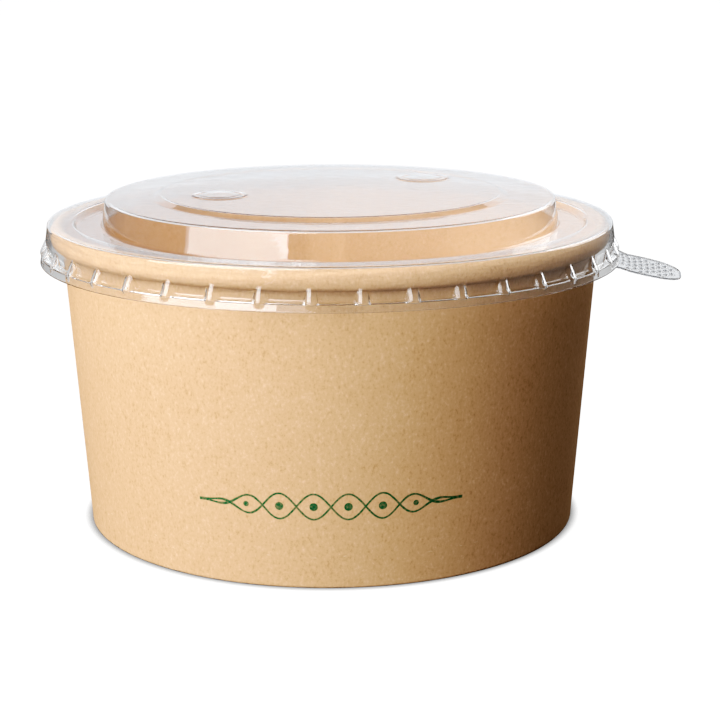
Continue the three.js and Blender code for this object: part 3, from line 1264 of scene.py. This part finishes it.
@dataclass
class Lid:
    """The clear lid: one film with a raised panel, a dome, a flange, a ribbed skirt, a lip and a tab."""

    film: float = 0.4
    panel_top: float = 89.2
    panel_radius: float = 45.9
    shoulder_top: float = 88.2
    shoulder_inner: float = 48.1
    dome_radius: float = 60.6
    dome_draft: float = 1.3
    gutter_top: float = 80.8
    gutter_outer: float = 68.3
    flange_top: float = 82.3
    flange_inner: float = 69.3
    skirt_radius: float = 76.1
    waist_top: float = 77.6
    waist_radius: float = 76.75
    ledge_top: float = 74.35
    ledge_radius: float = 76.25
    ledge_drop: float = 0.4
    lip_top_radius: float = 77.85
    lip_radius: float = 78.3
    lip_bottom: float = 71.9
    flat_edge: float = 1.2  # from the panel's edge to the ring where its flat middle begins
    sides: int = 240
    corner_step: float = 20.0  # largest turn between two points of a rounded corner
    fine_top: float = 78.2  # height below which the skirt's rings have extra points for the ribs
    fine_step: float = 0.34  # distance between these rings
    fine_margins: tuple[float, float] = (0.2, 0.4)  # left undivided at the lip and under that height
    same_place: float = 1e-4  # distance within which two points of the panel are one
    ribs: Ribs = field(default_factory=Ribs)
    tab: PullTab = field(default_factory=PullTab)
    buttons: tuple[Button, ...] = (Button(31.0, 206.0), Button(34.0, 48.0))

    def outer_path(self) -> list[Spot]:
        """The film's outer face.

        Returns:
            Its profile, from the flat middle of the panel to the lip's edge.
        """
        path = rounded([
            Corner(self.panel_radius - self.flat_edge, self.panel_top),
            Corner(self.panel_radius, self.panel_top, 0.8),
            Corner(self.shoulder_inner, self.shoulder_top, 0.8),
            Corner(self.dome_radius, self.shoulder_top, 0.85),
            Corner(self.dome_radius + self.dome_draft, self.gutter_top, 0.6),
            Corner(self.gutter_outer, self.gutter_top, 0.6),
            Corner(self.flange_inner, self.flange_top, 0.7),
            Corner(self.skirt_radius, self.flange_top, 0.9),
            Corner(self.waist_radius, self.waist_top, 3.0),
            Corner(self.ledge_radius, self.ledge_top, 0.5),
            Corner(self.lip_top_radius, self.ledge_top - self.ledge_drop, 0.3),
            Corner(self.lip_radius, self.lip_bottom),
        ], step=self.corner_step)
        at_lip, below_top = self.fine_margins
        return divided(path, self.lip_bottom + at_lip, self.fine_top - below_top, self.fine_step)

    def build(
        self, clear: bpy.types.Material, embossed: bpy.types.Material, cut: bpy.types.Material,
    ) -> list[bpy.types.Object]:
        """Builds the lid.

        Args:
            clear: The film's finish.
            embossed: The finish of the tab, with painted shade on its bumps and turned-up edge.
            cut: The finish of the film's cut edge.

        Returns:
            The lid's film and its pull tab.
        """
        outer = self.outer_path()
        inner = parallel(outer, self.film)
        lathe = Lathe()
        coarse, fine = around(self.sides), self.ribs.angles()
        ends = []
        for path, inset in ((outer, 0.0), (inner, self.film)):
            rings = []
            for spot, guide in zip(path, outer):
                is_fine = guide.height < self.fine_top
                press = (lambda a, s, depth=inset: self.ribs.raised(a, s, depth)) if is_fine else None
                rings.append(lathe.ring(spot, fine if is_fine else coarse, press))
            for one, two in zip(rings, rings[1:]):
                lathe.strip(one, two)
            self.fill_panel(lathe, rings[0], path[0].height)
            ends.append(rings[-1])
        lathe.strip(*ends, slot=1)
        piece = lathe.turn_off("lid_film", [clear, cut])
        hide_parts("lid")
        return [piece, self.tab.build(self.film, [embossed, cut])]

    def fill_panel(self, lathe: Lathe, rim: Ring, level: float) -> None:
        """Fills the flat middle of the panel round its buttons.

        Args:
            lathe: Where the lid is being made.
            rim: The ring at the edge of the flat middle.
            level: Its height.
        """
        rings = [rim] + [button.build(lathe, level) for button in self.buttons]
        numbers = [number for ring in rings for number in ring.points]
        flat = [Vector(lathe.points[number][:2]) for number in numbers]
        edges, start = [], 0
        for ring in rings:
            count = len(ring.points)
            edges += [(start + i, start + (i + 1) % count) for i in range(count)]
            start += count
        filled = geometry.delaunay_2d_cdt(flat, edges, [], 0, self.same_place)
        triangles, origins = filled[2], filled[3]
        for triangle in triangles:
            corners = [numbers[origins[i][0]] for i in triangle]
            middle = [sum(lathe.points[c][axis] for c in corners) / 3 for axis in (0, 1)]
            if not any(button.covers(middle) for button in self.buttons):
                lathe.face(corners)


# ---- Studio ----


class LampUse(Enum):
    """What a lamp does: lights dull surfaces and shows through film, is mirrored in gloss, or both."""

    BOTH = "both"
    LIGHT = "light"
    MIRROR = "mirror"


@dataclass
class Camera:
    """The camera, at the photograph's viewing angle."""

    azimuth: float = 8.0
    elevation: float = 13.91
    distance: float = 504.7
    aim_height: float = 40.0
    yaw: float = 0.9
    pitch: float = 0.18
    roll: float = -0.34
    focal_pixels: float = 1817.6
    frame_pixels: float = 720.0
    sensor: float = 36.0
    clip: tuple[float, float] = (0.01, 50.0)  # nearest and farthest distance that it sees, in metres

    def build(self) -> bpy.types.Object:
        """Makes the camera and gives it to the scene.

        Returns:
            The camera.
        """
        tilt, yaw, pitch = (math.radians(a) for a in (self.elevation, self.yaw, self.pitch))
        place = Vector((0, -math.cos(tilt), math.sin(tilt))) * self.distance
        place += Vector((0, 0, self.aim_height))
        ahead, right = Vector((0, math.cos(tilt), -math.sin(tilt))), Vector((1, 0, 0))
        up = right.cross(ahead)
        look = (ahead * math.cos(yaw) + right * math.sin(yaw)) * math.cos(pitch) + up * math.sin(pitch)
        right = look.cross(up).normalized()
        up = right.cross(look)
        lean = Matrix.Rotation(math.radians(-self.roll), 3, look)
        turned = Matrix.Rotation(math.radians(self.azimuth), 3, "Z")
        axes = [turned @ (lean @ right), turned @ (lean @ up), turned @ -look]
        data = bpy.data.cameras.new("camera")
        data.sensor_width = self.sensor
        data.lens = self.focal_pixels / self.frame_pixels * self.sensor
        data.clip_start, data.clip_end = self.clip
        camera = in_scene("camera", data)
        place = turned @ place * MM + Vector((bowl_axis(), 0, 0))
        camera.matrix_world = Matrix.Translation(place) @ Matrix(axes).transposed().to_4x4()
        bpy.context.scene.camera = camera
        return camera


@dataclass
class Softbox:
    """A flat lamp that stands round the bowl and faces it."""

    name: str
    azimuth: float  # from -Y towards +X
    distance: float
    height: float  # of its middle
    width: float
    tall: float
    radiance: float
    use: LampUse = LampUse.BOTH
    tint: Colour = (1.0, 1.0, 1.0)
    aim_height: float = 60.0

    def build(self) -> bpy.types.Object:
        """Makes the lamp.

        Returns:
            The lamp.
        """
        data = bpy.data.lights.new(self.name, "AREA")
        data.shape = "RECTANGLE"
        data.size, data.size_y = self.width * MM, self.tall * MM
        data.color = self.tint
        data.energy = self.radiance * math.pi * data.size * data.size_y
        lamp = in_scene(self.name, data)
        a = math.radians(self.azimuth)
        place = Vector((math.sin(a), -math.cos(a), 0)) * self.distance + Vector((0, 0, self.height))
        look = Vector((0, 0, self.aim_height)) - place
        lamp.location = place * MM + Vector((bowl_axis(), 0, 0))
        lamp.rotation_mode = "QUATERNION"
        lamp.rotation_quaternion = look.to_track_quat("-Z", "Y")
        lamp.visible_camera = False
        lamp.visible_diffuse = lamp.visible_transmission = self.use is not LampUse.MIRROR
        lamp.visible_glossy = self.use is not LampUse.LIGHT
        return lamp


@dataclass
class Studio:
    """The plain pale floor, the bright surroundings and the lamps."""

    floor_half: float = 6000.0
    floor_colour: Colour = (0.06, 0.06, 0.06)
    floor_glow: float = 1.0  # the floor's brightness to the camera
    painted_contact_shadow: float = 2.5  # reach of the painted contact shadow, which darkens the floor's glow where the bowl meets it
    painted_shadow_fade: float = 2.0  # power of the painted shadow's fading
    painted_shadow_samples: int = 8
    seen: float = 1.05  # the surroundings' brightness to the camera
    mirrored: float = 0.07  # in reflections
    through: float = 0.57  # through clear film
    ambient: float = 0.09  # on dull surfaces
    tone: tuple[tuple[float, float], ...] = (
        (0.021, 0.0024), (0.038, 0.0103), (0.065, 0.034), (0.11, 0.093),
        (0.1835, 0.216), (0.315, 0.4125), (0.557, 0.672), (0.8, 0.875),
    )  # the picture's soft contrast curve, from scene brightness to display
    lamps: tuple[Softbox, ...] = (  # with the numbers in the order of Softbox's fields
        Softbox("key_softbox", -38.6, 835, 598, 1030, 1024, 5.4, LampUse.LIGHT),
        Softbox("low_reflector", -38.6, 1024, 210, 1030, 92.0, 2.3, LampUse.MIRROR, (0.8, 1.0, 1.1)),
        Softbox("lip_reflector", -38.6, 1024, 293, 1030, 76.0, 5.0, LampUse.MIRROR, (0.95, 1.0, 1.08)),
        Softbox("high_reflector", -40.0, 600, 634, 542, 501, 4.5, LampUse.MIRROR, (0.93, 1.0, 1.06)),
        Softbox("front_softbox", -5.6, 835, 470, 200, 480, 2.6, LampUse.LIGHT),
        Softbox("front_reflector", -5.6, 835, 760, 200, 400, 2.6, LampUse.MIRROR),
        Softbox("side_softbox", 132, 835, 430, 600, 560, 1.9),
        Softbox("backdrop", 188, 900, 260, 1300, 560, 0.66, tint=(0.94, 1.0, 1.08)),
    )

    def build_floor(self) -> bpy.types.Object:
        """Makes the floor, with a painted contact shadow round the bowl.

        Returns:
            The floor.
        """
        half = self.floor_half * MM
        corners = [(x * half, y * half, 0) for x, y in ((-1, -1), (1, -1), (1, 1), (-1, 1))]
        mesh = bpy.data.meshes.new("floor")
        mesh.from_pydata(corners, [], [(0, 1, 2, 3)])
        floor = in_scene("floor", mesh)
        material, n, output = new_material("pale_floor")
        matt = n.field("ShaderNodeBsdfDiffuse", {"Color": (*self.floor_colour, 1)})
        # Painted contact shadow: ambient occlusion dims the glow that the camera sees near the bowl.
        reach = {"Distance": self.painted_contact_shadow * MM}
        near = n.field("ShaderNodeAmbientOcclusion", reach, "AO", samples=self.painted_shadow_samples)
        strength = n.math("POWER", near, self.painted_shadow_fade) * self.floor_glow
        glow = n.field("ShaderNodeEmission", {"Strength": strength})
        lit = n.field("ShaderNodeAddShader", {0: matt, 1: glow})
        pale = n.field("ShaderNodeEmission", {"Strength": self.through})
        path = n.add("ShaderNodeLightPath").outputs
        direct = n.math("LESS_THAN", path["Diffuse Depth"], BOUNCED)
        looked = Field(n, path["Is Transmission Ray"]) * direct
        shown = n.field("ShaderNodeMixShader", {0: looked, 1: matt, 2: pale})
        shown = n.field("ShaderNodeMixShader", {0: path["Is Camera Ray"], 1: shown, 2: lit})
        n.feed(output.inputs["Surface"], shown)
        mesh.materials.append(material)
        return floor

    def build_surroundings(self) -> None:
        """Sets the world's brightness for each kind of ray, and how the picture is toned."""
        scene = bpy.context.scene
        world = bpy.data.worlds.new("surroundings")
        world.use_nodes = True
        world.node_tree.nodes.clear()
        n = Nodes(world.node_tree)
        path = n.add("ShaderNodeLightPath").outputs
        strength: Value = self.ambient
        levels = {"Glossy": self.mirrored, "Transmission": self.through, "Camera": self.seen}
        for kind, level in levels.items():
            strength = n.either(path[f"Is {kind} Ray"], strength, level)
        trapped = n.math("GREATER_THAN", path["Ray Depth"], TRAPPED)
        strength = n.either(trapped, strength, self.through)
        direct = n.math("LESS_THAN", path["Diffuse Depth"], BOUNCED)
        strength = n.either(direct, self.ambient, strength)
        back = n.field("ShaderNodeBackground", {"Color": (1, 1, 1, 1), "Strength": strength})
        n.add("ShaderNodeOutputWorld", {"Surface": back})
        scene.world = world
        view = scene.view_settings
        view.view_transform, view.look = "Standard", "None"
        view.use_curve_mapping = True
        combined = view.curve_mapping.curves[3]
        for level, shown in self.tone:
            combined.points.new(level, shown)
        view.curve_mapping.update()

    def build(self) -> None:
        """Makes the floor, the surroundings and the lamps."""
        self.build_floor()
        self.build_surroundings()
        for lamp in self.lamps:
            lamp.build()


def main() -> None:
    """Builds the studio, the bowl and the lid."""
    logging.basicConfig(level=logging.INFO, format="%(name)s: %(message)s")
    camera = Camera().build()
    log.info("camera with a lens of %.1f mm", camera.data.lens)
    Studio().build()
    face = KraftFinish("kraft_face", band=PrintedBand(), rubbing=RubMarks(), creases=RimCreases())
    # Painted light: the inside's colours are the face's made about a tenth lighter, to brighten the inside
    # seen through the lid, which the lamps light too dimly; the coat and lower roughness are the coated
    # board's own.
    inside = KraftFinish(
        "kraft_inside_painted_light", board=(0.74, 0.462, 0.264), dark=(0.57, 0.33, 0.17), pale=(0.85, 0.585, 0.37),
        hairs=0.3, flecks=0.4, roughness=0.6, coat=0.15,
    )
    cut_edge = KraftFinish("kraft_cut_edge", board=(0.68, 0.46, 0.28), mottle=1.2, roughness=0.9)
    materials = [finish.material() for finish in (face, inside, cut_edge)]
    bowl = Bowl()
    bowl.build_wall(materials)
    bowl.build_base(materials)
    Lid().build(
        FilmFinish().material(),
        # The embossed film's dark tint is painted shade on the tab's bumps and turned-up edge.
        FilmFinish("embossed_film_painted_shade", painted_shade_tint=(0.32, 0.33, 0.35)).material(),
        FilmFinish("cut_film", tint=(0.5, 0.51, 0.53), roughness=0.25).material(),
    )
    bpy.context.view_layer.update()


if __name__ == "__main__":
    main()
